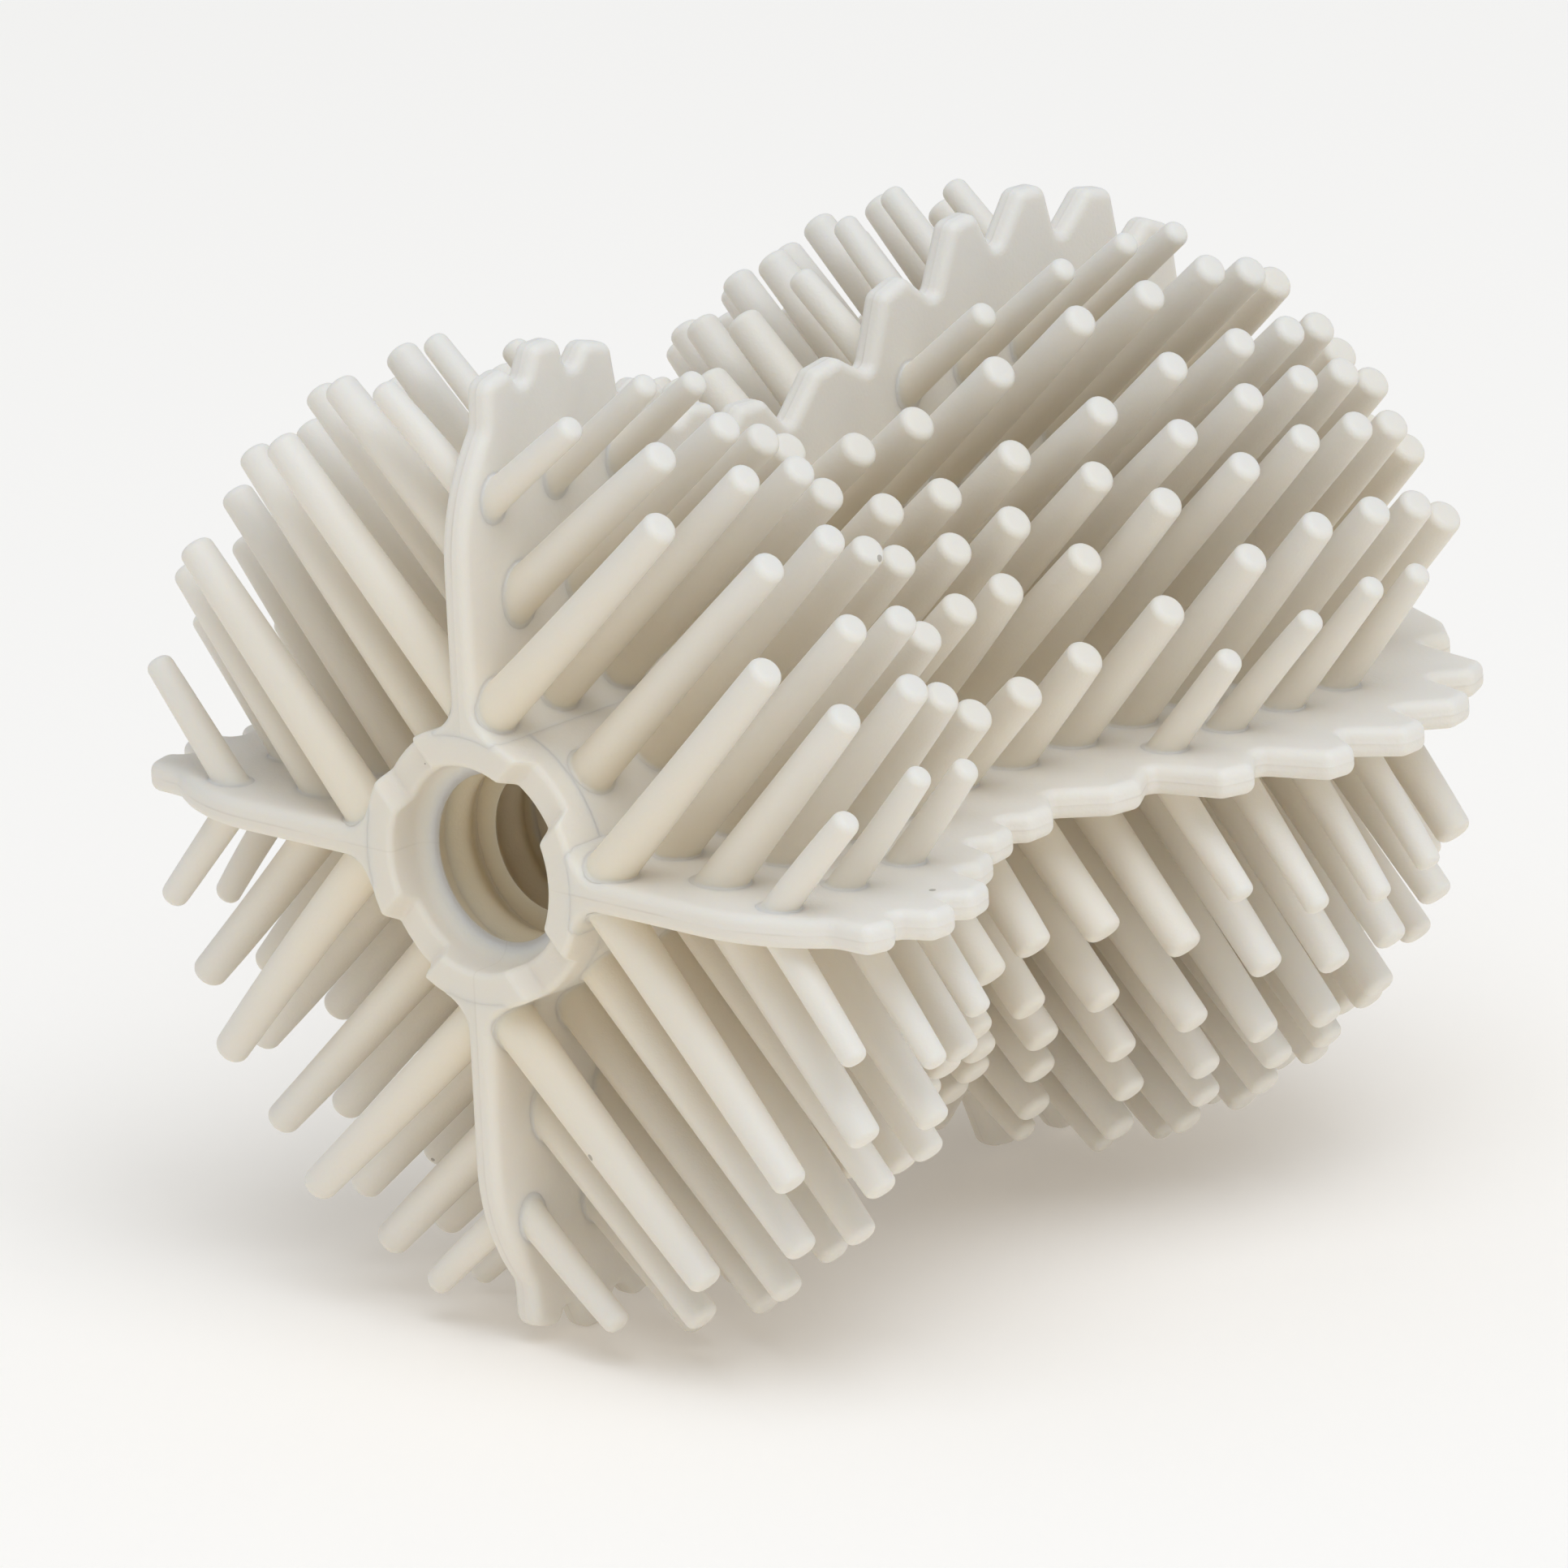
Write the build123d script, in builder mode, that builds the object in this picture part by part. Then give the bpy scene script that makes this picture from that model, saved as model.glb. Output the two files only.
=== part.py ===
"""Four-fin rotary brush roller in soft moulded elastomer.

Millimetres, +Z up. The roller's axis is the Y axis, its notched front end faces -Y, and the
origin is at the middle of the axis. Four toothed fins stand along +X, -X, +Z and -Z. Between
them rows of tapered pins point outwards along the diagonals. The tips of fins and pins follow
one hourglass outline, with a short front lobe, a waist and a long rear lobe.
"""
import os
from math import copysign, cos, radians, sin, sqrt

from build123d import *

# Overall shape
LENGTH = 120.0
FRONT_CREST_Y = -46.0
FRONT_CREST_RADIUS = 51.5
FRONT_LOBE_ARC = 16.0
REAR_CREST_Y = 23.5
REAR_CREST_RADIUS = 50.5
REAR_LOBE_ARC = 34.0
WAIST_ARC = 28.0

# Hub
HUB_RADIUS = 14.4
BORE_RADIUS = 7.5
CHAMBER_RADIUS = 10.0
CHAMBER_LENGTH = 15.0
COLLAR_LENGTH = 5.0
COLLAR_INNER_RADIUS = 10.6
NOTCH_DEPTH = 2.0
NOTCH_WIDTH_OUTSIDE = 7.4
NOTCH_WIDTH_AT_FLOOR = 6.0
LIP_WIDTH = 2.0
OUTER_LIP_RADIUS = 8.7
SEAL_RIB_RADIUS = 8.9
SEAL_RIB_WIDTH = 4.4
INNER_LIP_OFFSET = 7.0

# Fins
FIN_THICKNESS = 3.2
FRONT_EDGE_RADIUS = 31.0
FRONT_CORNER = (-55.4, 44.6)
FRONT_TEETH = 6
FIRST_FRONT_TOOTH = -53.4
FRONT_TOOTH_PITCH = 7.35
FRONT_TOOTH_DEPTH = 3.6
REAR_TOOTH_STATIONS = (-5.4, 5.0, 15.8, 26.3, 36.5, 45.6, 54.2)
REAR_TOOTH_DEPTH = 5.3
TOOTH_WIDTH = 3.6
TOOTH_ROUNDING = 1.5
VALLEY_ROUNDING = 1.0
VALLEY_SHARE = 0.37
VALLEY_SHIFT_PER_RISE = 0.045
LEAST_VALLEY_SHARE = 0.27
REAR_EDGE_RADIUS = 19.0

# Pins
FRONT_ROW_OFFSETS = (0.0, 9.0, 16.4, 24.2)
FRONT_ROW_STARTS = (-52.0, -56.6, -52.0, -55.0)
FRONT_ROW_PINS = (4, 4, 4, 3)
FRONT_PIN_PITCH = 9.1
REAR_ROW_OFFSETS = (0.0, 6.2, 15.0, 22.0)
REAR_ROW_STARTS = (-15.0, -19.9, -15.0, -19.9)
REAR_ROW_PINS = (9, 9, 8, 7)
REAR_PIN_PITCH = 8.7
PIN_ROOT_DIAMETERS = (4.8, 4.8, 4.8, 3.85)
PIN_TAPER = 0.036
PIN_TIP_ROUNDING = 0.9
PIN_LEAN_PER_MM = 0.2
SHORTEST_PIN = 12.0
PIN_START = 8.0

HALF = LENGTH / 2

# Centres of the three tangent arcs of the hourglass outline, as (station, radius) pairs
front_center = Vector(FRONT_CREST_Y, FRONT_CREST_RADIUS - FRONT_LOBE_ARC)
rear_center = Vector(REAR_CREST_Y, REAR_CREST_RADIUS - REAR_LOBE_ARC)
front_reach = FRONT_LOBE_ARC + WAIST_ARC
rear_reach = REAR_LOBE_ARC + WAIST_ARC
lobe_line = rear_center - front_center
lobe_distance = lobe_line.length
along = (front_reach**2 - rear_reach**2 + lobe_distance**2) / (2 * lobe_distance)
across = sqrt(front_reach**2 - along**2)
lobe_direction = lobe_line.normalized()
outward = Vector(-lobe_direction.Y, lobe_direction.X)
waist_center = front_center + lobe_direction * along + outward * across
front_tangent = front_center + (waist_center - front_center).normalized() * FRONT_LOBE_ARC
rear_tangent = rear_center + (waist_center - rear_center).normalized() * REAR_LOBE_ARC


def outline_radius(station):
    """Distance from the axis to the hourglass outline at a station along the axis."""
    if station < front_tangent.X:
        return front_center.Y + sqrt(FRONT_LOBE_ARC**2 - (station - front_center.X) ** 2)
    if station < rear_tangent.X:
        return waist_center.Y - sqrt(WAIST_ARC**2 - (station - waist_center.X) ** 2)
    return rear_center.Y + sqrt(REAR_LOBE_ARC**2 - (station - rear_center.X) ** 2)


def write_part(part, label):
    """Name a finished piece and write its STEP file."""
    part.label = label
    export_step(part, f"parts/{label}.step")


def make_tube(start, end, inner_radius):
    """Stretch of the hub between two stations along the axis."""
    with BuildPart() as tube:
        with BuildSketch(Plane.XZ.offset(-start)):
            Circle(HUB_RADIUS)
            Circle(inner_radius, mode=Mode.SUBTRACT)
        extrude(amount=start - end)
    return tube.part


def make_collar(side):
    """End ring of the hub with four shallow notches on the diagonals; side is -1 or +1."""
    face = side * HALF
    with BuildPart() as collar:
        with BuildSketch(Plane.XZ.offset(-face)):
            Circle(HUB_RADIUS)
            Circle(COLLAR_INNER_RADIUS, mode=Mode.SUBTRACT)
        extrude(amount=side * COLLAR_LENGTH)
        for angle in (45, 135):
            across_notch = Vector(-sin(radians(angle)), 0, cos(radians(angle)))
            along_notch = across_notch.cross(Vector(0, 1, 0))
            with BuildSketch(Plane((0, 0, 0), x_dir=across_notch, z_dir=along_notch)):
                with BuildLine():
                    Polyline(
                        (-NOTCH_WIDTH_OUTSIDE / 2, face),
                        (-NOTCH_WIDTH_AT_FLOOR / 2, face - side * NOTCH_DEPTH),
                        (NOTCH_WIDTH_AT_FLOOR / 2, face - side * NOTCH_DEPTH),
                        (NOTCH_WIDTH_OUTSIDE / 2, face),
                        close=True,
                    )
                make_face()
            extrude(amount=HUB_RADIUS + 1, both=True, mode=Mode.SUBTRACT)
    return collar.part


def make_lip(side, outside, inner_radius):
    """Lip ring with a sharp edge towards its end of the hub and a sloped back."""
    inside = outside - side * LIP_WIDTH
    with BuildPart() as lip:
        with BuildSketch(Plane.XY):
            with BuildLine():
                Polyline(
                    (inner_radius, outside),
                    (CHAMBER_RADIUS, outside),
                    (CHAMBER_RADIUS, inside),
                    (inner_radius, outside - side * LIP_WIDTH / 2),
                    close=True,
                )
            make_face()
        revolve(axis=Axis.Y)
    return lip.part


def make_seal_rib(middle):
    """Low rounded rib around the chamber wall."""
    start = (CHAMBER_RADIUS, middle - SEAL_RIB_WIDTH / 2)
    end = (CHAMBER_RADIUS, middle + SEAL_RIB_WIDTH / 2)
    with BuildPart() as rib:
        with BuildSketch(Plane.XY):
            with BuildLine():
                ThreePointArc(start, (SEAL_RIB_RADIUS, middle), end)
                Line(end, start)
            make_face()
        revolve(axis=Axis.Y)
    return rib.part


def tooth_points(middle):
    """The two tip corners of one tooth; its tip slopes half as much as the outline does."""
    height = outline_radius(middle)
    ends = (middle - TOOTH_WIDTH / 2, middle + TOOTH_WIDTH / 2)
    return [(station, (height + outline_radius(station)) / 2) for station in ends]


def valley_point(tooth, next_tooth):
    """Lowest point between two teeth, nearer to the higher one; teeth are (station, depth)."""
    heights = [outline_radius(station) for station, _ in (tooth, next_tooth)]
    share = VALLEY_SHARE + VALLEY_SHIFT_PER_RISE * (heights[1] - heights[0])
    gap = next_tooth[0] - tooth[0] - TOOTH_WIDTH
    station = tooth[0] + TOOTH_WIDTH / 2 + gap * max(share, LEAST_VALLEY_SHARE)
    return (station, (sum(heights) - tooth[1] - next_tooth[1]) / 2)


def toothed_edge():
    """Corner points along the toothed outer edge of a fin, from front to rear."""
    front = [FIRST_FRONT_TOOTH + FRONT_TOOTH_PITCH * number for number in range(FRONT_TEETH)]
    teeth = [(station, FRONT_TOOTH_DEPTH) for station in front]
    teeth += [(station, REAR_TOOTH_DEPTH) for station in REAR_TOOTH_STATIONS]
    points = tooth_points(teeth[0][0])
    for tooth, next_tooth in zip(teeth, teeth[1:]):
        points.append(valley_point(tooth, next_tooth))
        points += tooth_points(next_tooth[0])
    return points


def is_valley(corner):
    """Whether a corner of the fin's outline is a valley: every third point of its edge is one."""
    edge = toothed_edge()
    nearest = min(edge, key=lambda point: abs(point[0] - corner.X))
    return nearest in edge[2::3]


def make_fin(angle):
    """Toothed fin standing on the hub along the radial direction at this angle from +X."""
    radial = Vector(cos(radians(angle)), 0, sin(radians(angle)))
    root = HUB_RADIUS - 1
    with BuildPart() as fin:
        with BuildSketch(Plane((0, 0, 0), x_dir=(0, 1, 0), z_dir=Vector(0, 1, 0).cross(radial))):
            with BuildLine():
                TangentArc((-HALF, FRONT_EDGE_RADIUS), FRONT_CORNER, tangent=(0, 1))
                Polyline(
                    FRONT_CORNER,
                    *toothed_edge(),
                    (HALF, REAR_EDGE_RADIUS),
                    (HALF, root),
                    (-HALF, root),
                    (-HALF, FRONT_EDGE_RADIUS),
                )
            make_face()
            outer = vertices().filter_by(lambda corner: corner.X > -HALF and corner.Y > root + 1)
            valleys = outer.filter_by(is_valley)
            fillet(outer - valleys, TOOTH_ROUNDING)
            fillet(valleys, VALLEY_ROUNDING)
        extrude(amount=FIN_THICKNESS / 2, both=True)
        Cylinder(HUB_RADIUS, 2 * LENGTH, rotation=(90, 0, 0), mode=Mode.SUBTRACT)
    return fin.part


def pin_length(station, offset):
    """Length of a pin's free part, from its fin or the hub to the hourglass outline."""
    tip = sqrt(outline_radius(station) ** 2 - offset**2)
    root = abs(offset) + FIN_THICKNESS / sqrt(2)
    return tip - root


def add_pin(diagonal, station, offset, root_diameter):
    """One tapered pin in the open part, its tip on the hourglass outline."""
    outwards = Vector(cos(radians(diagonal)), 0, sin(radians(diagonal)))
    sideways = Vector(-outwards.Z, 0, outwards.X)
    tip_height = sqrt(outline_radius(station) ** 2 - offset**2)
    tip = outwards * tip_height + sideways * offset + Vector(0, station, 0)
    lean = radians(PIN_LEAN_PER_MM * offset)
    direction = outwards * cos(lean) - sideways * sin(lean)
    height = (tip_height - PIN_START) / cos(lean)
    root_radius = (root_diameter + PIN_TAPER * (HUB_RADIUS - PIN_START)) / 2
    tip_radius = (root_diameter - PIN_TAPER * (tip_height - HUB_RADIUS)) / 2
    with Locations(Plane(tip - direction * height, x_dir=(0, 1, 0), z_dir=direction).location):
        Cone(root_radius, tip_radius, height, align=(Align.CENTER, Align.CENTER, Align.MIN))
    tip_edge = edges(Select.LAST).filter_by(GeomType.CIRCLE).sort_by(SortBy.RADIUS)[0]
    fillet(tip_edge, PIN_TIP_ROUNDING)


def make_pins(diagonal, in_front, rows):
    """Group of separate pins of one quadrant and lobe; rows lists (row number, side) pairs."""
    offsets = FRONT_ROW_OFFSETS if in_front else REAR_ROW_OFFSETS
    starts = FRONT_ROW_STARTS if in_front else REAR_ROW_STARTS
    pitch = FRONT_PIN_PITCH if in_front else REAR_PIN_PITCH
    counts = FRONT_ROW_PINS if in_front else REAR_ROW_PINS
    with BuildPart() as pins:
        for row, side in rows:
            for number in range(counts[row]):
                station = starts[row] + pitch * number
                if pin_length(station, offsets[row]) > SHORTEST_PIN:
                    add_pin(diagonal, station, side * offsets[row], PIN_ROOT_DIAMETERS[row])
        Cylinder(HUB_RADIUS, 2 * LENGTH, rotation=(90, 0, 0), mode=Mode.SUBTRACT)
        middle = (LENGTH + FIN_THICKNESS) / 2
        right = copysign(middle, cos(radians(diagonal)))
        up = copysign(middle, sin(radians(diagonal)))
        with Locations((right, 0, up)):
            Box(LENGTH, 2 * LENGTH, LENGTH, mode=Mode.INTERSECT)
    return pins.part


os.makedirs("parts", exist_ok=True)

# The hub is a sleeve with the plain bore, and at each end a wider chamber and a notched collar
chamber_end = HALF - COLLAR_LENGTH
chamber_start = chamber_end - CHAMBER_LENGTH
write_part(make_tube(-chamber_start, chamber_start, BORE_RADIUS), "hub_sleeve")
for side, end in ((-1, "front"), (1, "rear")):
    lip_face = side * chamber_end
    inner_face = lip_face - side * INNER_LIP_OFFSET
    chamber_span = sorted((side * chamber_start, lip_face))
    write_part(make_tube(*chamber_span, CHAMBER_RADIUS), f"{end}_chamber_wall")
    write_part(make_collar(side), f"{end}_collar")
    write_part(make_lip(side, lip_face, OUTER_LIP_RADIUS), f"{end}_outer_lip")
    write_part(make_seal_rib((lip_face + inner_face) / 2 - side * LIP_WIDTH / 2), f"{end}_seal_rib")
    write_part(make_lip(side, inner_face, BORE_RADIUS), f"{end}_inner_lip")

for angle, place in ((0, "right"), (90, "top"), (180, "left"), (270, "bottom")):
    write_part(make_fin(angle), f"{place}_fin")

# In each quadrant a positive offset is on the side of the next fin, counted from +X towards +Z
QUADRANTS = (
    (45, "top_right", "upright", "level"),
    (135, "top_left", "level", "upright"),
    (225, "bottom_left", "upright", "level"),
    (315, "bottom_right", "level", "upright"),
)
for diagonal, quadrant, next_fin, last_fin in QUADRANTS:
    groups = {
        "center": [(0, 1)],
        f"by_{next_fin}_fin": [(1, 1)],
        f"by_{last_fin}_fin": [(1, -1)],
        f"on_{next_fin}_fin": [(2, 1), (3, 1)],
        f"on_{last_fin}_fin": [(2, -1), (3, -1)],
    }
    for lobe, in_front in (("front", True), ("rear", False)):
        for group, rows in groups.items():
            write_part(make_pins(diagonal, in_front, rows), f"{quadrant}_{lobe}_pins_{group}")
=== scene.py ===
"""Looks of the four-fin brush roller, one moulding in ivory elastomer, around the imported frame.

Shapes are worked out in millimetres, as in the CAD model, and the meshes are written in metres.
The roller's axis is Y, its notched front end faces -Y and its fins stand along +-X and +-Z.
Every CAD node is replaced by a mesh with the roundings, root fillets and parting lines of the
moulding, and each pin stands a little differently, as soft pins do.
"""

from math import asin, cos, pi, radians, sin, sqrt

import bpy
import numpy as np
from mathutils import Matrix, Vector


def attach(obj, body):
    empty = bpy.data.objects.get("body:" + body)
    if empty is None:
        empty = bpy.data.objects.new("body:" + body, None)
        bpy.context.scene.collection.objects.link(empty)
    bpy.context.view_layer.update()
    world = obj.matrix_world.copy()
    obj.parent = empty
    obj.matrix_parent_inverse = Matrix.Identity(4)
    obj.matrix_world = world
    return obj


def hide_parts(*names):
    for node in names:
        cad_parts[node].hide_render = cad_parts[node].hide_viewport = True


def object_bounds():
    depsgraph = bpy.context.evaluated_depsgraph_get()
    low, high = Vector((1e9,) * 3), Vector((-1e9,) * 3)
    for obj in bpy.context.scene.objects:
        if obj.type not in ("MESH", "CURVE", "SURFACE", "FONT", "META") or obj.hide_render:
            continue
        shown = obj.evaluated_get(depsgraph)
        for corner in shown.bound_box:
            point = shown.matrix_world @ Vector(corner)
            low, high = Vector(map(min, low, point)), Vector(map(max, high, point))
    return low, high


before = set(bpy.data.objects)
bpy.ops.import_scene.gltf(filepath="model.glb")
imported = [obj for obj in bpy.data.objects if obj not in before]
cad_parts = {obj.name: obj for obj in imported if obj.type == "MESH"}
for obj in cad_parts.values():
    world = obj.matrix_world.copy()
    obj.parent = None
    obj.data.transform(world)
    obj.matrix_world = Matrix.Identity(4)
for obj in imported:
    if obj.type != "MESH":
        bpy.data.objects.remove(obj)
cad_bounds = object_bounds()

MM = 0.001
SHARP_ANGLE = 50  # degrees between faces, above which an edge stays crisp
HIDDEN_OVERLAP = 0.3  # how far lips and ribs reach into the chamber wall

# Overall shape
HALF = cad_bounds[1].y / MM  # half of the roller's length
FRONT_CREST_Y = -46.0
FRONT_CREST_RADIUS = 51.5
FRONT_LOBE_ARC = 16.0
REAR_CREST_Y = 23.5
REAR_CREST_RADIUS = 50.5
REAR_LOBE_ARC = 34.0
WAIST_ARC = 28.0

# Hub
HUB_RADIUS = 14.4
BORE_RADIUS = 7.5
CHAMBER_RADIUS = 10.0
BORE_ROUNDING = 0.5
CHAMBER_LENGTH = 15.0
COLLAR_LENGTH = 5.0
COLLAR_INNER_RADIUS = 10.6
COLLAR_EDGE_ROUNDING = 0.7
COLLAR_SUPPORT = 2.0
COUNTERBORE_FILLET = 1.9
NOTCH_DEPTH = 2.0
NOTCH_FLOOR_HALF_WIDTH = 2.6
NOTCH_TOP_HALF_WIDTH = 4.1
LIP_ROOM = 2.0  # length of chamber that a lip takes in the CAD model
LIP_THICKNESS = 1.0
LIP_EDGE_WIDTH = 0.15
OUTER_LIP_RADIUS = 8.7
SEAL_RIB_RADIUS = 8.9
SEAL_RIB_WIDTH = 4.4
RIB_STEPS = 16
INNER_LIP_OFFSET = 7.0
HUB_STEPS = 160
LUG_STEPS = 24
NOTCH_STEPS = [0, 1.0, 2.0, *(2.4 + 0.2 * step for step in range(11))]  # distances from a diagonal
CHAMBER_END = HALF - COLLAR_LENGTH
CHAMBER_START = CHAMBER_END - CHAMBER_LENGTH

# Fins
FIN_HALF = 1.6
FIN_ROOT_FILLET = 3.0
FIN_ROOT_DEPTH = 1.5
FIN_ROOT_SPREAD = 0.4
RIM_ROUNDING = 1.1
RIM_SUPPORT = 1.3
SEAM_HALF_WIDTH = 0.08
SEAM_HEIGHT = 0.02
FRONT_EDGE_RADIUS = 31.0
FRONT_CORNER = (-55.4, 44.6)
FRONT_CORNER_ROUNDING = 2.5
FRONT_EDGE_STEPS = 10
FRONT_TEETH = 6
FIRST_FRONT_TOOTH = -53.4
FRONT_TOOTH_PITCH = 7.35
FRONT_TOOTH_DEPTH = 3.6
REAR_TOOTH_STATIONS = (-5.4, 5.0, 15.8, 26.3, 36.5, 45.6, 54.2)
REAR_TOOTH_DEPTH = 5.3
TOOTH_WIDTH = 3.6
TOOTH_ROUNDING = 1.5
VALLEY_ROUNDING = 1.0
VALLEY_SHARE = 0.37
VALLEY_SHIFT_PER_RISE = 0.045
LEAST_VALLEY_SHARE = 0.27
REAR_EDGE_RADIUS = 19.0

# Pins
FRONT_ROW_OFFSETS = (0.0, 9.0, 16.4, 24.2)
FRONT_ROW_STARTS = (-52.0, -56.6, -52.0, -55.0)
FRONT_ROW_PINS = (4, 4, 4, 3)
FRONT_PIN_PITCH = 9.1
REAR_ROW_OFFSETS = (0.0, 6.2, 15.0, 22.0)
REAR_ROW_STARTS = (-15.0, -19.9, -15.0, -19.9)
REAR_ROW_PINS = (9, 9, 8, 7)
REAR_PIN_PITCH = 8.7
PIN_ROOT_DIAMETERS = (4.8, 4.8, 4.8, 3.85)
PIN_TAPER = 0.036
PIN_TIP_ROUNDING = 0.9
PIN_TIP_CROWN = 0.06
PIN_LEAN_PER_MM = 0.2
SHORTEST_PIN = 12.0
PIN_ROOT_FILLET = 0.4
PIN_SKIRT = (1.2, -0.35)  # spread and lift of a pin's lowest ring, inside its base, in fillet radii
PIN_END_DEPTH = 0.5
PIN_STEPS = 28
SHAFT_RINGS = 4
BISECTIONS = 30
TIP_SWAY = 0.3
randoms = np.random.default_rng(11)

# Distances of each lobe's rows from the diagonal, their first stations, pin counts and pitch
LOBES = {
    "front": (FRONT_ROW_OFFSETS, FRONT_ROW_STARTS, FRONT_ROW_PINS, FRONT_PIN_PITCH),
    "rear": (REAR_ROW_OFFSETS, REAR_ROW_STARTS, REAR_ROW_PINS, REAR_PIN_PITCH),
}

# Diagonals in degrees from +X towards +Z, with the fins that come after and before them;
# a row with a positive offset is on the side of the fin that comes after
QUADRANTS = (
    (45, "top_right", "upright", "level"),
    (135, "top_left", "level", "upright"),
    (225, "bottom_left", "upright", "level"),
    (315, "bottom_right", "level", "upright"),
)

# Outline: centres of its three tangent arcs, as (station, radius) pairs
front_center = Vector((FRONT_CREST_Y, FRONT_CREST_RADIUS - FRONT_LOBE_ARC))
rear_center = Vector((REAR_CREST_Y, REAR_CREST_RADIUS - REAR_LOBE_ARC))
front_reach = FRONT_LOBE_ARC + WAIST_ARC
rear_reach = REAR_LOBE_ARC + WAIST_ARC
lobe_line = rear_center - front_center
lobe_distance = lobe_line.length
along = (front_reach**2 - rear_reach**2 + lobe_distance**2) / (2 * lobe_distance)
across = sqrt(front_reach**2 - along**2)
lobe_direction = lobe_line.normalized()
waist_center = front_center + lobe_direction * along
waist_center += Vector((-lobe_direction.y, lobe_direction.x)) * across
front_tangent = front_center + (waist_center - front_center).normalized() * FRONT_LOBE_ARC
rear_tangent = rear_center + (waist_center - rear_center).normalized() * REAR_LOBE_ARC


def outline_radius(station):
    """Distance from the axis to the hourglass outline at a station along the axis."""
    if station < front_tangent.x:
        return front_center.y + sqrt(FRONT_LOBE_ARC**2 - (station - front_center.x) ** 2)
    if station < rear_tangent.x:
        return waist_center.y - sqrt(WAIST_ARC**2 - (station - waist_center.x) ** 2)
    return rear_center.y + sqrt(REAR_LOBE_ARC**2 - (station - rear_center.x) ** 2)


def new_piece(name, points, faces, material, slot):
    """One detailed mesh that stands for the CAD node of the same name; points are in mm."""
    mesh = bpy.data.meshes.new(f"{name}_mesh")
    mesh.from_pydata([[value * MM for value in point] for point in points], [], faces)
    mesh.validate()
    mesh.shade_smooth()
    mesh.set_sharp_from_angle(angle=radians(SHARP_ANGLE))
    mesh.materials.append(material)
    piece = bpy.data.objects.new(f"{name}_look", mesh)
    bpy.context.scene.collection.objects.link(piece)
    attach(piece, "root")
    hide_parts(name)


def quarter_round(radius, steps):
    """(1 - cos, 1 - sin) pairs over a quarter turn, times the radius."""
    angles = [pi / 2 * step / steps for step in range(steps + 1)]
    return [(radius * (1 - cos(angle)), radius * (1 - sin(angle))) for angle in angles]


def rounded_corners(corners, radii, steps=5):
    """Points along a polygon whose corners are replaced by tangent arcs; radius 0 keeps one."""
    points = []
    for index, (corner, radius) in enumerate(zip(corners, radii)):
        at = Vector(corner)
        if radius == 0:
            points.append(tuple(at))
            continue
        to_last = (Vector(corners[index - 1]) - at).normalized()
        to_next = (Vector(corners[(index + 1) % len(corners)]) - at).normalized()
        half_angle = to_last.angle(to_next) / 2
        center = at + (to_last + to_next).normalized() * (radius / sin(half_angle))
        start = at + to_last * (radius / np.tan(half_angle)) - center
        turn = start.angle_signed(at + to_next * (radius / np.tan(half_angle)) - center)
        for step in range(steps + 1):
            swing = Matrix.Rotation(-turn * step / steps, 2)
            points.append(tuple(center + swing @ start))
    return points


# ---------------------------------------------------------------- hub


def ring_faces(rings, columns):
    """Faces of a closed grid of points, whose last ring and column meet the first again."""
    faces = []
    for ring in range(rings):
        here = ring * columns
        there = (ring + 1) % rings * columns
        for column in range(columns):
            after = (column + 1) % columns
            faces.append((here + column, here + after, there + after, there + column))
    return faces


def lathe(profile):
    """Closed ring around the Y axis from a closed profile of (radius, y) points."""
    points = []
    for step in range(HUB_STEPS):
        angle = 2 * pi * step / HUB_STEPS
        points += [(radius * cos(angle), y, radius * sin(angle)) for radius, y in profile]
    return points, ring_faces(HUB_STEPS, len(profile))


def rib_curve(middle, side=1):
    """(radius, y) points over a low rounded rib on the chamber wall, along +Y or -Y."""
    height = CHAMBER_RADIUS - SEAL_RIB_RADIUS
    shares = [side * (2 * step / RIB_STEPS - 1) for step in range(RIB_STEPS + 1)]
    reach = SEAL_RIB_WIDTH / 2
    return [(CHAMBER_RADIUS - height * (1 - t**2) ** 2, middle + reach * t) for t in shares]


def make_sleeve():
    """Middle of the hub, with the plain bore."""
    corners = [
        (HUB_RADIUS, CHAMBER_START),
        (BORE_RADIUS, CHAMBER_START),
        (BORE_RADIUS, -CHAMBER_START),
        (HUB_RADIUS, -CHAMBER_START),
    ]
    return lathe(rounded_corners(corners, [0, BORE_ROUNDING, BORE_ROUNDING, 0]))


def make_chamber_wall(side):
    """End of the hub around the wider chamber, with a rib behind the inner lip."""
    inner_end = side * CHAMBER_START
    outer_end = side * CHAMBER_END
    behind_lip = outer_end - side * (INNER_LIP_OFFSET + LIP_ROOM)
    fillet = quarter_round(BORE_ROUNDING, 4)
    profile = [
        (HUB_RADIUS, outer_end),
        (CHAMBER_RADIUS, outer_end),
        *rib_curve((behind_lip + inner_end) / 2, -side),
        *[(CHAMBER_RADIUS - inset, inner_end + side * rise) for inset, rise in fillet],
        (HUB_RADIUS, inner_end),
    ]
    return lathe(profile[::side])


def make_lip(side, outside, inner_radius):
    """Lip ring with a fine edge towards its end of the hub and a sloped back."""
    inside = outside - side * LIP_THICKNESS
    profile = [
        (inner_radius, outside),
        (CHAMBER_RADIUS + HIDDEN_OVERLAP, outside),
        (CHAMBER_RADIUS + HIDDEN_OVERLAP, inside),
        (CHAMBER_RADIUS, inside),
        (inner_radius, outside - side * LIP_EDGE_WIDTH),
    ]
    return lathe(profile[::-side])


def make_seal_rib(middle):
    """Low rounded rib around the chamber wall."""
    reach = SEAL_RIB_WIDTH / 2
    back = [(CHAMBER_RADIUS + HIDDEN_OVERLAP, middle + end) for end in (reach, -reach)]
    return lathe((rib_curve(middle) + back)[::-1])


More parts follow.
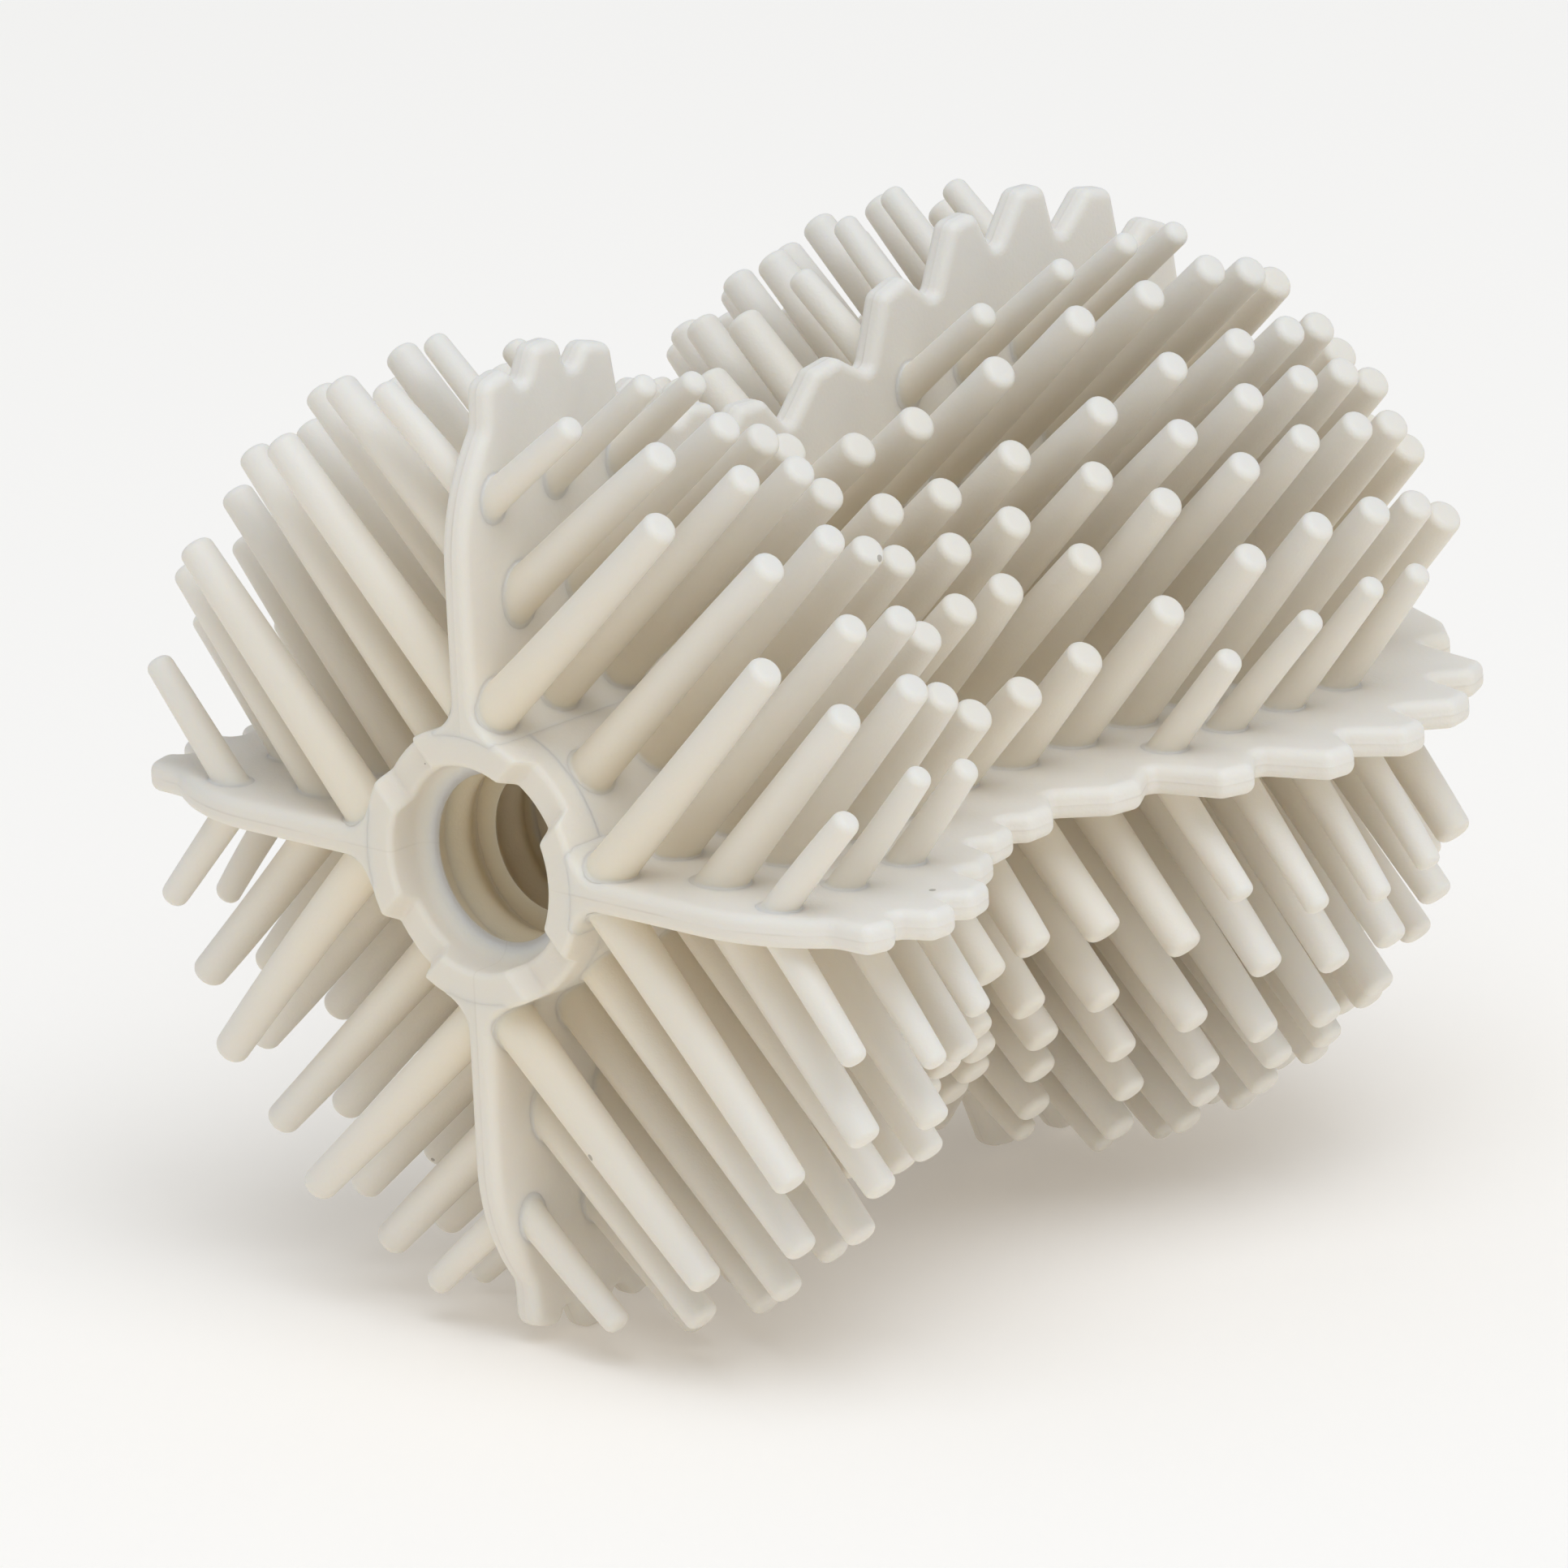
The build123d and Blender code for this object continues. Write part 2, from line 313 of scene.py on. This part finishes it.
def smooth_step(value):
    """Rises from 0 to 1 as the value does, level at both ends."""
    value = min(max(value, 0.0), 1.0)
    return value * value * (3 - 2 * value)


def make_collar(side):
    """End ring of the hub; four shallow notches on the diagonals leave a lug around each fin."""
    rounding = quarter_round(COLLAR_EDGE_ROUNDING, 6)
    width = COLLAR_INNER_RADIUS - HUB_RADIUS
    fillet = quarter_round(COUNTERBORE_FILLET, 8)

    # (radius, y, notched) around the section at a lug; notched rows sink with the notches
    section = [(HUB_RADIUS, CHAMBER_END, 0), (HUB_RADIUS, CHAMBER_END + COLLAR_SUPPORT, 0)]
    section += [(HUB_RADIUS - inset, HALF - drop, 1) for inset, drop in rounding]
    section += [(HUB_RADIUS + share * width, HALF, 1) for share in (0.25, 0.5, 0.75)]
    section += [(COLLAR_INNER_RADIUS + inset, HALF - drop, 1) for drop, inset in rounding]
    section += [(COLLAR_INNER_RADIUS - inset, CHAMBER_END + rise, 0) for inset, rise in fillet]

    # (distance from a diagonal, turn past the notch) of the columns of one quarter
    columns = [(-distance, 0) for distance in NOTCH_STEPS[:0:-1]]
    columns += [(distance, 0) for distance in NOTCH_STEPS]
    columns += [(NOTCH_STEPS[-1], step / LUG_STEPS) for step in range(1, LUG_STEPS)]

    points = []
    slope = NOTCH_TOP_HALF_WIDTH - NOTCH_FLOOR_HALF_WIDTH
    for radius, y, notched in section:
        lug = pi / 2 - 2 * asin(NOTCH_STEPS[-1] / radius)
        for quarter in range(4):
            for distance, turn in columns:
                angle = pi / 4 + quarter * pi / 2 + asin(distance / radius) + lug * turn
                rise = smooth_step((abs(distance) - NOTCH_FLOOR_HALF_WIDTH) / slope)
                sunk = y - notched * NOTCH_DEPTH * (1 - rise)
                points.append((radius * cos(angle), side * sunk, radius * sin(angle)))
    faces = ring_faces(len(section), 4 * len(columns))
    return points, [face[::-side] for face in faces]


# ---------------------------------------------------------------- fins


def tooth_points(middle):
    """The two tip corners of one tooth; its tip slopes half as much as the outline does."""
    height = outline_radius(middle)
    ends = (middle - TOOTH_WIDTH / 2, middle + TOOTH_WIDTH / 2)
    return [(station, (height + outline_radius(station)) / 2) for station in ends]


def valley_point(tooth, next_tooth):
    """Lowest point between two teeth, nearer to the higher one; teeth are (station, depth)."""
    heights = [outline_radius(station) for station, _ in (tooth, next_tooth)]
    share = VALLEY_SHARE + VALLEY_SHIFT_PER_RISE * (heights[1] - heights[0])
    gap = next_tooth[0] - tooth[0] - TOOTH_WIDTH
    station = tooth[0] + TOOTH_WIDTH / 2 + gap * max(share, LEAST_VALLEY_SHARE)
    return (station, (sum(heights) - tooth[1] - next_tooth[1]) / 2)


def toothed_edge():
    """Corner points along the toothed outer edge of a fin, from front to rear."""
    front = [FIRST_FRONT_TOOTH + FRONT_TOOTH_PITCH * number for number in range(FRONT_TEETH)]
    teeth = [(station, FRONT_TOOTH_DEPTH) for station in front]
    teeth += [(station, REAR_TOOTH_DEPTH) for station in REAR_TOOTH_STATIONS]
    points = tooth_points(teeth[0][0])
    for tooth, next_tooth in zip(teeth, teeth[1:]):
        points.append(valley_point(tooth, next_tooth))
        points += tooth_points(next_tooth[0])
    return points


def front_edge():
    """Points along the bowed front edge of a fin, from its straight part to its first tooth."""
    run = FRONT_CORNER[0] + HALF
    rise = FRONT_CORNER[1] - FRONT_EDGE_RADIUS
    arc = (run**2 + rise**2) / (2 * run)
    sweep = asin(rise / arc)
    angles = [sweep * step / FRONT_EDGE_STEPS for step in range(FRONT_EDGE_STEPS + 1)]
    return [(-HALF + arc * (1 - cos(t)), FRONT_EDGE_RADIUS + arc * sin(t)) for t in angles]


def root_flare():
    """(half width, height) rows of the fillet between fin and hub, from inside the hub up."""
    rows = [(FIN_HALF + FIN_ROOT_FILLET + FIN_ROOT_SPREAD, HUB_RADIUS - FIN_ROOT_DEPTH)]
    for above_hub, spread in quarter_round(FIN_ROOT_FILLET, 8):
        half_width = FIN_HALF + spread
        rows.append((half_width, sqrt((HUB_RADIUS + above_hub) ** 2 - half_width**2)))
    return rows


def fin_edge(flare):
    """(station, height) points around a fin from root to root, with its half width at each."""
    bow = front_edge()
    teeth = toothed_edge()
    corners = [(-HALF, flare[-1][1]), *bow, *teeth, (HALF, REAR_EDGE_RADIUS), (HALF, flare[-1][1])]
    roundings = [0] * len(bow) + [FRONT_CORNER_ROUNDING]
    roundings += [VALLEY_ROUNDING if index % 3 == 2 else TOOTH_ROUNDING for index in range(len(teeth))]
    edge = rounded_corners(corners, [*roundings, TOOTH_ROUNDING, 0], steps=6)
    path = [(-HALF, height) for _, height in flare[:-1]] + edge
    path += [(HALF, height) for _, height in flare[-2::-1]]
    widths = [width for width, _ in flare] + [FIN_HALF] * (len(edge) - 2)
    widths += [width for width, _ in flare[::-1]]
    return path, widths


def make_fin(angle):
    """Toothed fin with a rounded rim, a fine parting line and a filleted root."""
    flare = root_flare()
    path, widths = fin_edge(flare)
    normals = []
    for index in range(len(path)):
        before = Vector(path[max(index - 1, 0)])
        after = Vector(path[min(index + 1, len(path) - 1)])
        run = (after - before).normalized()
        normals.append(Vector((-run.y, run.x)))

    # Each point of the path gets the same ring of points, from one face over the rim to the other;
    # rim holds distances in from the face and insets from the top of the parting line
    rim = [(0.0, RIM_SUPPORT), *quarter_round(RIM_ROUNDING, 6)]
    ridge = [(SEAM_HALF_WIDTH, SEAM_HEIGHT), (SEAM_HALF_WIDTH / 2, SEAM_HEIGHT / 4)]
    points = []
    radial = Vector((cos(radians(angle)), 0, sin(radians(angle))))
    sideways = Vector((-radial.z, 0, radial.x))
    for (station, height), normal, width in zip(path, normals, widths):
        section = [(width - inwards, inset + SEAM_HEIGHT) for inwards, inset in rim] + ridge
        section += [(-place, inset) for place, inset in section[::-1]]
        for place, inset in section:
            y = station - normal.x * inset
            out = height - max(normal.y, 0) * inset
            points.append(radial * out + sideways * place + Vector((0, y, 0)))
    ring = len(points) // len(path)
    faces = []
    for index in range(len(path) - 1):
        for step in range(ring - 1):
            first = index * ring + step
            faces.append((first, first + 1, first + ring + 1, first + ring))

    # Side faces: one strip along each row of the root fillet and one large face above them
    last = len(path) - 1
    for row in range(len(flare) - 1):
        rear = last - row
        for step, turned in ((0, False), (ring - 1, True)):
            quad = (row, row + 1, rear - 1, rear)
            quad = [index * ring + step for index in quad]
            faces.append(quad[::-1] if turned else quad)
    rows = range(len(flare) - 1, last - len(flare) + 2)
    faces.append([index * ring for index in rows])
    faces.append([index * ring + ring - 1 for index in rows][::-1])
    faces.append([*reversed(range(ring)), *range(last * ring, len(points))])
    return points, faces


# ---------------------------------------------------------------- pins


def round_union(first, second):
    """Distance to two surfaces joined by a fillet, from the distances to each."""
    radius = FIN_ROOT_FILLET
    corner = np.hypot(np.maximum(radius - first, 0), np.maximum(radius - second, 0))
    return np.maximum(radius, np.minimum(first, second)) - corner


def base_distance(places, inwards):
    """Distance from the hub and the two fins of a quadrant; inwards holds its signs of x and z."""
    x = places[..., 0] * inwards[0]
    z = places[..., 2] * inwards[1]
    hub = np.hypot(x, z) - HUB_RADIUS
    return round_union(round_union(hub, x - FIN_HALF), z - FIN_HALF)


def pin_length(station, offset):
    """Length of a pin's free part, from its fin or the hub to the hourglass outline."""
    tip = sqrt(outline_radius(station) ** 2 - offset**2)
    return tip - abs(offset) - FIN_HALF * sqrt(2)


def pin_faces(rings):
    """Faces over a pin's rings, from its root up, closed by its crown and its buried end."""
    faces = []
    for ring in range(rings - 1):
        here = ring * PIN_STEPS
        there = here + PIN_STEPS
        for step in range(PIN_STEPS):
            after = (step + 1) % PIN_STEPS
            faces.append((here + step, there + step, there + after, here + after))
    last = (rings - 1) * PIN_STEPS
    for step in range(PIN_STEPS):
        after = (step + 1) % PIN_STEPS
        faces.append((last + step, last + PIN_STEPS, last + after))
        faces.append((step, after, last + PIN_STEPS + 1))
    return faces


def make_pin(diagonal, station, offset, root_diameter, sway):
    """One tapered pin with a filleted root on its base surface and a rounded flat tip."""
    outwards = np.array((cos(radians(diagonal)), 0, sin(radians(diagonal))))
    sideways = np.array((-outwards[2], 0, outwards[0]))
    lengthways = np.array((0, 1.0, 0))
    tip_height = sqrt(outline_radius(station) ** 2 - offset**2)
    tip = outwards * tip_height + sideways * offset + lengthways * station
    lean = radians(PIN_LEAN_PER_MM * offset)
    direction = outwards * cos(lean) - sideways * sin(lean)
    side = np.cross(direction, lengthways)
    tip_radius = (root_diameter - PIN_TAPER * (tip_height - HUB_RADIUS)) / 2
    angles = 2 * pi * np.arange(PIN_STEPS) / PIN_STEPS
    around = np.outer(np.cos(angles), side) + np.outer(np.sin(angles), lengthways)
    inwards = np.sign((outwards[0], outwards[2]))

    def depth_of_base(radii):
        """Distance from the tip down to the base surface, around the pin at these radii."""
        start = tip + around * radii[:, None]
        near = np.zeros(PIN_STEPS)
        far = np.full(PIN_STEPS, tip_height + 2 * abs(offset))
        for _ in range(BISECTIONS):
            middle = (near + far) / 2
            outside = base_distance(start - middle[:, None] * direction, inwards) > 0
            near = np.where(outside, middle, near)
            far = np.where(outside, far, middle)
        return near

    rings = []
    shaft_depth = depth_of_base(np.full(PIN_STEPS, tip_radius))
    root_radius = tip_radius + PIN_TAPER / 2 * shaft_depth
    fillet = [PIN_SKIRT] + [(spread, lift) for lift, spread in quarter_round(1, 5)]
    for spread, lift in fillet:
        radii = root_radius + PIN_ROOT_FILLET * spread
        rings.append((radii, depth_of_base(radii) - PIN_ROOT_FILLET * lift))
    fillet_depths = rings[-1][1]
    top = np.min(fillet_depths)
    for step in range(1, SHAFT_RINGS + 1):
        share = step / (SHAFT_RINGS + 1)
        depth = fillet_depths * (1 - share) + PIN_TIP_ROUNDING * share
        depth = depth * (1 - share) + (top * (1 - share) + PIN_TIP_ROUNDING * share) * share
        rings.append((tip_radius + PIN_TAPER / 2 * depth, depth))
    for inset, drop in quarter_round(PIN_TIP_ROUNDING, 5):
        depth = drop + PIN_TIP_CROWN
        rings.append((np.full(PIN_STEPS, tip_radius - inset), np.full(PIN_STEPS, depth)))

    total = float(np.max(shaft_depth))
    points = []
    for radii, depths in rings:
        bend = np.clip(1 - depths / total, 0, 1) ** 2
        places = tip + around * radii[:, None] - direction * depths[:, None]
        points.append(places + bend[:, None] * (side * sway[0] + lengthways * sway[1]))
    points = np.concatenate(points)
    crown = tip + side * sway[0] + lengthways * sway[1]
    buried = np.mean(points[:PIN_STEPS], axis=0) - direction * PIN_END_DEPTH
    return np.vstack([points, crown, buried]), pin_faces(len(rings))


def make_pins(diagonal, lobe, rows):
    """The pins of some rows in one quadrant and lobe; rows lists (row number, side) pairs."""
    offsets, starts, counts, pitch = LOBES[lobe]
    points = []
    faces = []
    for row, side in rows:
        for number in range(counts[row]):
            station = starts[row] + pitch * number
            if pin_length(station, offsets[row]) > SHORTEST_PIN:
                sway = randoms.normal(0, TIP_SWAY, 2)
                offset = side * offsets[row]
                pin = make_pin(diagonal, station, offset, PIN_ROOT_DIAMETERS[row], sway)
                first = len(points)
                points.extend(pin[0].tolist())
                faces += [[first + index for index in face] for face in pin[1]]
    return points, faces


# ---------------------------------------------------------------- materials

# LIGHT_IVORY is the elastomer's own colour; the shaded, deep and root colours are painted shade,
# darker and warmer towards the axis and in the bore, where shade falls between pins and fins
LIGHT_IVORY = (0.84, 0.79, 0.70)
SHADED_IVORY = (0.86, 0.765, 0.605)
DEEP_SHADE_IVORY = (0.86, 0.74, 0.54)
ROOT_SHADE_IVORY = (0.84, 0.77, 0.65)
SEAM_COLOR = (0.36, 0.26, 0.15)
SPECK_COLOR = (0.19, 0.15, 0.10)

# Radii, in mm, between which a material's painted shade colour turns into its light one
WHOLE_SHADE_BLEND = (16, 49)
HUB_SHADE_BLEND = (10.5, 14)

# Patterns: scales are per metre, half widths and depths are in mm, and a speck's size is in cells
MOTTLE_SCALE = 70
MOTTLE_SPREAD = 0.5
SPECK_SCALE = 150
SPECK_SIZE = 0.055
SPECK_RARITY = 0.93
SPECK_STRENGTH = 0.55
SEAM_STAIN_HALF_WIDTH = 0.16
SEAM_STAIN_SCALE = 90
SEAM_STAIN_LIMIT = 0.42
SEAM_STAIN_CONTRAST = 4.0
GLOSS_SCALE = 220
GLOSS_SPREAD = 0.16
GRAIN_SCALE = 2600
WAVE_SCALE = 260
WAVE_HEIGHT = 1.2
BUMP_DEPTH = 0.1
BUMP_STRENGTH = 0.35

# Light that passes through the soft material, and its weak shine
GLOW_WEIGHT = 0.4
GLOW_SPREAD = (1.0, 0.8, 0.5)
GLOW_DEPTH = 1.5
SHINE = 0.3


def elastomer(name, roughness, light_color, painted_shade_color, seam=0.0, blend=WHOLE_SHADE_BLEND):
    """Moulded elastomer, faintly mottled and specked, with painted shade that darkens it towards the
    axis.

    seam is the strength of the parting line's stain.
    """
    material = bpy.data.materials.new(name)
    material.use_nodes = True
    nodes = material.node_tree.nodes
    link = material.node_tree.links.new
    shader = nodes["Principled BSDF"]
    shader.inputs["Subsurface Weight"].default_value = GLOW_WEIGHT
    shader.inputs["Subsurface Radius"].default_value = GLOW_SPREAD
    shader.inputs["Subsurface Scale"].default_value = GLOW_DEPTH * MM
    shader.inputs["Specular IOR Level"].default_value = SHINE
    place = nodes.new("ShaderNodeTexCoord").outputs["Object"]

    def math_node(operation, *values, clamp=False):
        node = nodes.new("ShaderNodeMath")
        node.operation = operation
        node.use_clamp = clamp
        for socket, value in zip(node.inputs, values):
            if isinstance(value, (int, float)):
                socket.default_value = value
            else:
                link(value, socket)
        return node.outputs[0]

    def mix_color(factor, first, second):
        node = nodes.new("ShaderNodeMix")
        node.data_type = "RGBA"
        link(factor, node.inputs["Factor"])
        for socket, value in ((node.inputs[6], first), (node.inputs[7], second)):
            if isinstance(value, tuple):
                socket.default_value = (*value, 1)
            else:
                link(value, socket)
        return node.outputs[2]

    def noise(scale, detail=3):
        node = nodes.new("ShaderNodeTexNoise")
        link(place, node.inputs["Vector"])
        node.inputs["Scale"].default_value = scale
        node.inputs["Detail"].default_value = detail
        return node.outputs["Fac"]

    def centered_noise(scale, spread):
        return math_node("MULTIPLY", math_node("SUBTRACT", noise(scale), 0.5), spread)

    # Painted shade, darker towards the axis where shade falls between pins and fins, with a soft
    # mottle on it
    axes = nodes.new("ShaderNodeSeparateXYZ")
    link(place, axes.inputs[0])
    squared = [math_node("MULTIPLY", axes.outputs[axis], axes.outputs[axis]) for axis in (0, 2)]
    radius = math_node("SQRT", math_node("ADD", *squared))
    height = math_node("SUBTRACT", radius, blend[0] * MM)
    height = math_node("DIVIDE", height, (blend[1] - blend[0]) * MM, clamp=True)
    height = math_node("ADD", height, centered_noise(MOTTLE_SCALE, MOTTLE_SPREAD), clamp=True)
    color = mix_color(height, painted_shade_color, light_color)

    # Rare tiny specks
    cells = nodes.new("ShaderNodeTexVoronoi")
    link(place, cells.inputs["Vector"])
    cells.inputs["Scale"].default_value = SPECK_SCALE
    pick = nodes.new("ShaderNodeSeparateColor")
    link(cells.outputs["Color"], pick.inputs[0])
    near = math_node("LESS_THAN", cells.outputs["Distance"], SPECK_SIZE)
    rare = math_node("GREATER_THAN", pick.outputs[0], SPECK_RARITY)
    speck = math_node("MULTIPLY", math_node("MULTIPLY", near, rare), SPECK_STRENGTH)
    color = mix_color(speck, color, SPECK_COLOR)

    if seam:
        # Parting line in the middle of the fins, uneven along its length
        off_x = math_node("ABSOLUTE", axes.outputs[0])
        off_z = math_node("ABSOLUTE", axes.outputs[2])
        off = math_node("MINIMUM", off_x, off_z)
        off = math_node("DIVIDE", off, SEAM_STAIN_HALF_WIDTH * MM)
        line = math_node("SUBTRACT", 1.0, off, clamp=True)
        uneven = math_node("SUBTRACT", noise(SEAM_STAIN_SCALE), SEAM_STAIN_LIMIT)
        uneven = math_node("MULTIPLY", uneven, SEAM_STAIN_CONTRAST, clamp=True)
        line = math_node("MULTIPLY", math_node("MULTIPLY", line, uneven), seam)
        color = mix_color(line, color, SEAM_COLOR)
    link(color, shader.inputs["Base Color"])

    rough = math_node("ADD", centered_noise(GLOSS_SCALE, GLOSS_SPREAD), roughness)
    link(rough, shader.inputs["Roughness"])

    # Fine moulded grain over faint waves
    bump = nodes.new("ShaderNodeBump")
    bump.inputs["Strength"].default_value = BUMP_STRENGTH
    bump.inputs["Distance"].default_value = BUMP_DEPTH * MM
    waves = math_node("MULTIPLY", noise(WAVE_SCALE, 2), WAVE_HEIGHT)
    link(math_node("ADD", noise(GRAIN_SCALE, 2), waves), bump.inputs["Height"])
    link(bump.outputs[0], shader.inputs["Normal"])
    return material


# Painted shade: fins and pins darken towards their roots, the collars and the hub's outside take the
# fin roots' shade colour, and the bore and its lips and rib are painted in the deepest shade
# throughout
fin_material = elastomer("fin_elastomer_look", 0.5, LIGHT_IVORY, ROOT_SHADE_IVORY, seam=0.22)
pin_material = elastomer("pin_elastomer_look", 0.5, LIGHT_IVORY, SHADED_IVORY)
collar_material = elastomer("collar_elastomer_look", 0.52, ROOT_SHADE_IVORY, ROOT_SHADE_IVORY, seam=0.15)
hub_material = elastomer("hub_elastomer_look", 0.52, ROOT_SHADE_IVORY, DEEP_SHADE_IVORY, blend=HUB_SHADE_BLEND)
bore_material = elastomer("bore_elastomer_look", 0.55, DEEP_SHADE_IVORY, DEEP_SHADE_IVORY)

# ---------------------------------------------------------------- pieces

new_piece("hub_sleeve", *make_sleeve(), hub_material, "hub_elastomer")
for side, end in ((-1, "front"), (1, "rear")):
    lip_face = side * CHAMBER_END
    inner_face = lip_face - side * INNER_LIP_OFFSET
    rib_middle = (lip_face + inner_face) / 2 - side * LIP_ROOM / 2
    new_piece(f"{end}_chamber_wall", *make_chamber_wall(side), hub_material, "hub_elastomer")
    new_piece(f"{end}_collar", *make_collar(side), collar_material, "hub_elastomer")
    outer_lip = make_lip(side, lip_face, OUTER_LIP_RADIUS)
    new_piece(f"{end}_outer_lip", *outer_lip, collar_material, "bore_elastomer")
    new_piece(f"{end}_seal_rib", *make_seal_rib(rib_middle), bore_material, "bore_elastomer")
    inner_lip = make_lip(side, inner_face, BORE_RADIUS)
    new_piece(f"{end}_inner_lip", *inner_lip, bore_material, "bore_elastomer")

for angle, place in ((0, "right"), (90, "top"), (180, "left"), (270, "bottom")):
    new_piece(f"{place}_fin", *make_fin(angle), fin_material, "fin_elastomer")

for diagonal, quadrant, next_fin, last_fin in QUADRANTS:
    groups = {
        "center": [(0, 1)],
        f"by_{next_fin}_fin": [(1, 1)],
        f"by_{last_fin}_fin": [(1, -1)],
        f"on_{next_fin}_fin": [(2, 1), (3, 1)],
        f"on_{last_fin}_fin": [(2, -1), (3, -1)],
    }
    for lobe in ("front", "rear"):
        for group, rows in groups.items():
            name = f"{quadrant}_{lobe}_pins_{group}"
            new_piece(name, *make_pins(diagonal, lobe, rows), pin_material, "pin_elastomer")

# ---------------------------------------------------------------- floor, light and camera

FLOOR_REACH = 4.0
FLOOR_COLOR = (0.97, 0.90, 0.80)
FLOOR_ROUGHNESS = 0.8
FLOOR_GLOW_COLOR = (1.0, 0.99, 0.97)
FLOOR_GLOW = 0.15
WORLD_COLOR = (0.88, 0.93, 1.0)
WORLD_STRENGTH = 0.56
SOFTBOX_COLOR = (0.78, 0.86, 1.0)
SOFTBOX_SIZE = 2.4

floor_mesh = bpy.data.meshes.new("floor_mesh")
floor_corners = [(x * FLOOR_REACH, y * FLOOR_REACH) for x, y in ((-1, -1), (1, -1), (1, 1), (-1, 1))]
floor_mesh.from_pydata([(x, y, cad_bounds[0].z) for x, y in floor_corners], [], [(0, 1, 2, 3)])
floor = bpy.data.objects.new("floor", floor_mesh)
bpy.context.scene.collection.objects.link(floor)
floor_material = bpy.data.materials.new("floor_look")
floor_material.use_nodes = True
floor_shader = floor_material.node_tree.nodes["Principled BSDF"]
floor_shader.inputs["Base Color"].default_value = (*FLOOR_COLOR, 1)
floor_shader.inputs["Emission Color"].default_value = (*FLOOR_GLOW_COLOR, 1)
floor_shader.inputs["Emission Strength"].default_value = FLOOR_GLOW
floor_shader.inputs["Roughness"].default_value = FLOOR_ROUGHNESS
floor_mesh.materials.append(floor_material)

world = bpy.data.worlds.new("studio")
world.use_nodes = True
background = world.node_tree.nodes["Background"]
background.inputs["Color"].default_value = (*WORLD_COLOR, 1)
background.inputs["Strength"].default_value = WORLD_STRENGTH
bpy.context.scene.world = world


def direction_to(azimuth, elevation):
    """Unit vector away from the roller; azimuth 0 is in front of its notched end."""
    turn, tilt = radians(azimuth), radians(elevation)
    return Vector((sin(turn) * cos(tilt), -cos(turn) * cos(tilt), sin(tilt)))


def soft_light(name, azimuth, elevation, distance, watts):
    """Square area light aimed at the roller."""
    data = bpy.data.lights.new(name, "AREA")
    data.shape = "SQUARE"
    data.size = SOFTBOX_SIZE
    data.energy = watts
    data.color = SOFTBOX_COLOR
    light = bpy.data.objects.new(name, data)
    away = direction_to(azimuth, elevation)
    light.location = away * distance
    light.rotation_mode = "QUATERNION"
    light.rotation_quaternion = away.to_track_quat("Z", "Y")
    bpy.context.scene.collection.objects.link(light)


soft_light("overhead_softbox", azimuth=55, elevation=66, distance=3.0, watts=37)
soft_light("right_softbox", azimuth=80, elevation=54, distance=4.0, watts=28)

# The camera's aim is given from the roller's centre, in the directions of the picture
CAMERA_AZIMUTH = 43.19
CAMERA_ELEVATION = 17.2
CAMERA_ROLL = -2.81
CAMERA_DISTANCE = 1.8
CAMERA_LENS = 406.5
CAMERA_REACH = 100
AIM_RIGHT = -0.00897
AIM_UP = -0.00632
roll = radians(CAMERA_ROLL)
back = direction_to(CAMERA_AZIMUTH, CAMERA_ELEVATION)
level_right = Vector((0, 0, 1)).cross(back).normalized()
level_up = back.cross(level_right)
right = cos(roll) * level_right + sin(roll) * level_up
up = back.cross(right)
camera_data = bpy.data.cameras.new("camera")
camera_data.lens = CAMERA_LENS
camera_data.clip_end = CAMERA_REACH
camera = bpy.data.objects.new("camera", camera_data)
camera_place = right * AIM_RIGHT + up * AIM_UP + back * CAMERA_DISTANCE
camera_turn = Matrix((right, up, back)).transposed().to_4x4()
camera.matrix_world = Matrix.Translation(camera_place) @ camera_turn
bpy.context.scene.collection.objects.link(camera)
bpy.context.scene.camera = camera
bpy.context.scene.view_settings.view_transform = "Standard"
